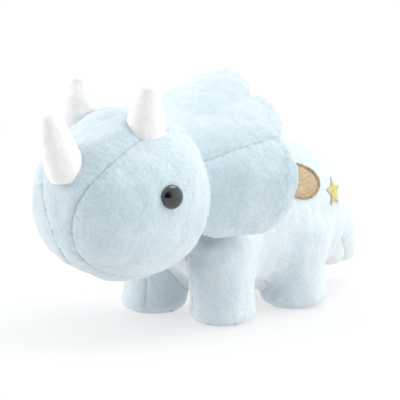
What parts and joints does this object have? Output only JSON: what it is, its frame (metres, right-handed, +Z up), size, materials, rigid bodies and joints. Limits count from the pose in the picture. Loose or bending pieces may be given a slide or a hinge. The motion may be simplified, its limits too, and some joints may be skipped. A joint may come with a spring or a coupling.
{
  "type": "stuffed toy dinosaur",
  "caption": "Plush horned dinosaur standing on stubby legs, with a round head, a lobed padded neck frill and a drooping tail; head and tail tilt.",
  "frame": {"origin": "on the floor, under the middle of the toy's overall length and width", "axes": "+Z up, -Y where the nose points, +X the toy's own left side"},
  "size_m": [0.1726, 0.3145, 0.168],
  "materials": {
    "blue_plush": "matte",
    "belly_plush": "matte",
    "white_plush": "matte",
    "tan_satin": "satin",
    "brown_thread": "satin",
    "yellow_thread": "satin",
    "eye_plastic": "gloss",
    "washer_plastic": "matte",
    "fibrefill": "matte"
  },
  "bodies": {
    "torso": {"belly_panel": "belly_plush", "body_side_left": "blue_plush", "body_side_right": "blue_plush", "hip_star": "yellow_thread", "inner_leg_front_left": "blue_plush", "inner_leg_front_right": "blue_plush", "inner_leg_rear_left": "blue_plush", "inner_leg_rear_right": "blue_plush", "leg_stuffing_front_left": "blue_plush", "leg_stuffing_front_right": "blue_plush", "leg_stuffing_rear_left": "blue_plush", "leg_stuffing_rear_right": "blue_plush", "patch_border_left": "brown_thread", "patch_border_right": "brown_thread", "patch_left": "tan_satin", "patch_right": "tan_satin", "sole_front_left": "blue_plush", "sole_front_right": "blue_plush", "sole_rear_left": "blue_plush", "sole_rear_right": "blue_plush", "torso_stuffing": "fibrefill"},
    "neck": {"neck_sleeve": "blue_plush", "neck_wad": "fibrefill"},
    "head": {"brow_horn_left": "white_plush", "brow_horn_left_stuffing": "fibrefill", "brow_horn_right": "white_plush", "brow_horn_right_stuffing": "fibrefill", "eye_left": "eye_plastic", "eye_right": "eye_plastic", "eye_washer_left": "washer_plastic", "eye_washer_right": "washer_plastic", "frill_left_back": "blue_plush", "frill_left_batting": "fibrefill", "frill_left_front": "blue_plush", "frill_right_back": "blue_plush", "frill_right_batting": "fibrefill", "frill_right_front": "blue_plush", "frill_upper_back": "blue_plush", "frill_upper_batting": "fibrefill", "frill_upper_front": "blue_plush", "head_back_panel": "blue_plush", "head_cheek_left": "blue_plush", "head_cheek_right": "blue_plush", "head_gusset": "blue_plush", "head_stuffing": "fibrefill", "nose_horn": "white_plush", "nose_horn_stuffing": "fibrefill"},
    "tail_root": {"tail_root_sleeve": "blue_plush", "tail_root_wad": "fibrefill"},
    "tail": {"tail_skin_top": "blue_plush", "tail_skin_under": "blue_plush", "tail_stuffing": "fibrefill"}
  },
  "joints": [
    {"name": "neck_turn", "type": "hinge", "parent": "torso", "child": "neck", "pos_m": [0, -0.038, 0.085], "axis": [0, 0, 1], "range_deg": [-8, 8], "stiffness_Nm_per_rad": 1},
    {"name": "neck_nod", "type": "hinge", "parent": "neck", "child": "head", "pos_m": [0, -0.038, 0.085], "axis": [1, 0, 0], "range_deg": [-5, 6], "stiffness_Nm_per_rad": 1, "springref_deg": -1.55},
    {"name": "tail_wag", "type": "hinge", "parent": "torso", "child": "tail_root", "pos_m": [0, 0.095, 0.055], "axis": [0, 0.6157, 0.788], "range_deg": [-14, 14], "stiffness_Nm_per_rad": 0.3},
    {"name": "tail_lift", "type": "hinge", "parent": "tail_root", "child": "tail", "pos_m": [0, 0.095, 0.055], "axis": [1, 0, 0], "range_deg": [-3, 12], "stiffness_Nm_per_rad": 0.3, "springref_deg": 0.34}
  ]
}
